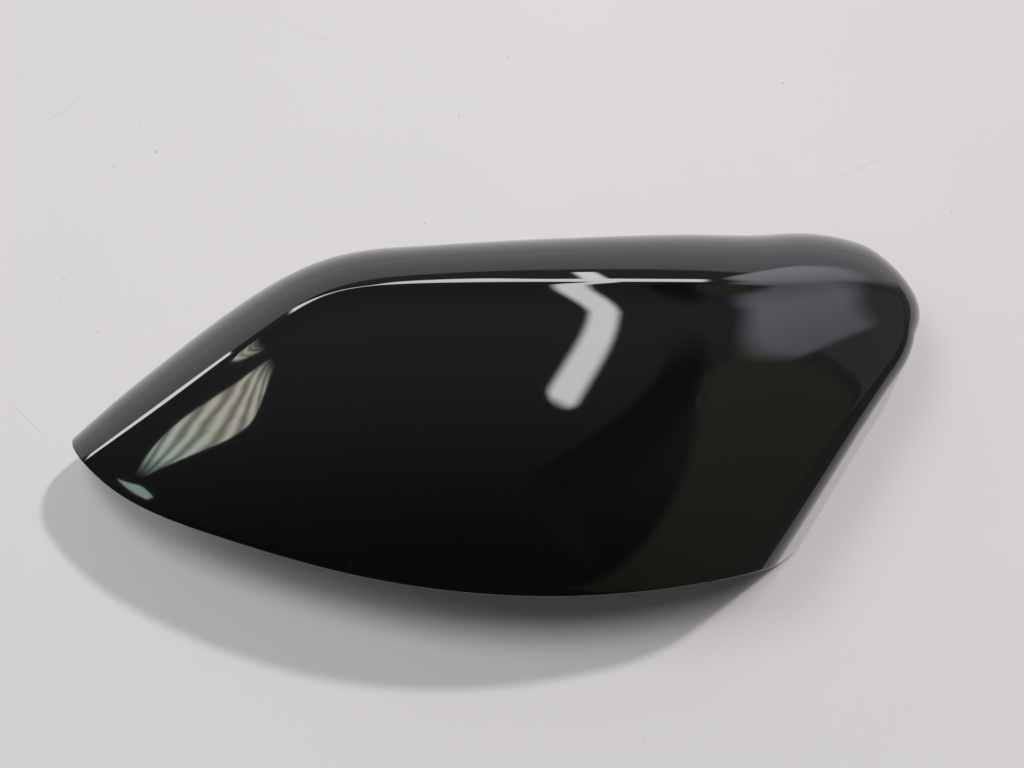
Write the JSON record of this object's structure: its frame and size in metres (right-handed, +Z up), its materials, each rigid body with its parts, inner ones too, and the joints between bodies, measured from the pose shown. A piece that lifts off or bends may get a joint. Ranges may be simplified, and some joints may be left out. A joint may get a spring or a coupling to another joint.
{
  "type": "wing mirror cover",
  "caption": "Gloss black cover of a car wing mirror: a thin crowned shell with a sharp crease line, a rolled flank and an end wall, with snap tongues and ribs inside.",
  "frame": {"origin": "centre of the bounding box in plan, on the plane of the rim that the cover lies on", "axes": "+X along the cover from the pointed tip to the broad end, +Y across it towards the top flank, +Z up, out of the crowned face"},
  "size_m": [0.2448, 0.1174, 0.0466],
  "materials": {
    "gloss_black": "gloss black paint outside, bare black moulding inside"
  },
  "bodies": {
    "root": {"mirror_cover": "gloss_black"}
  },
  "joints": []
}
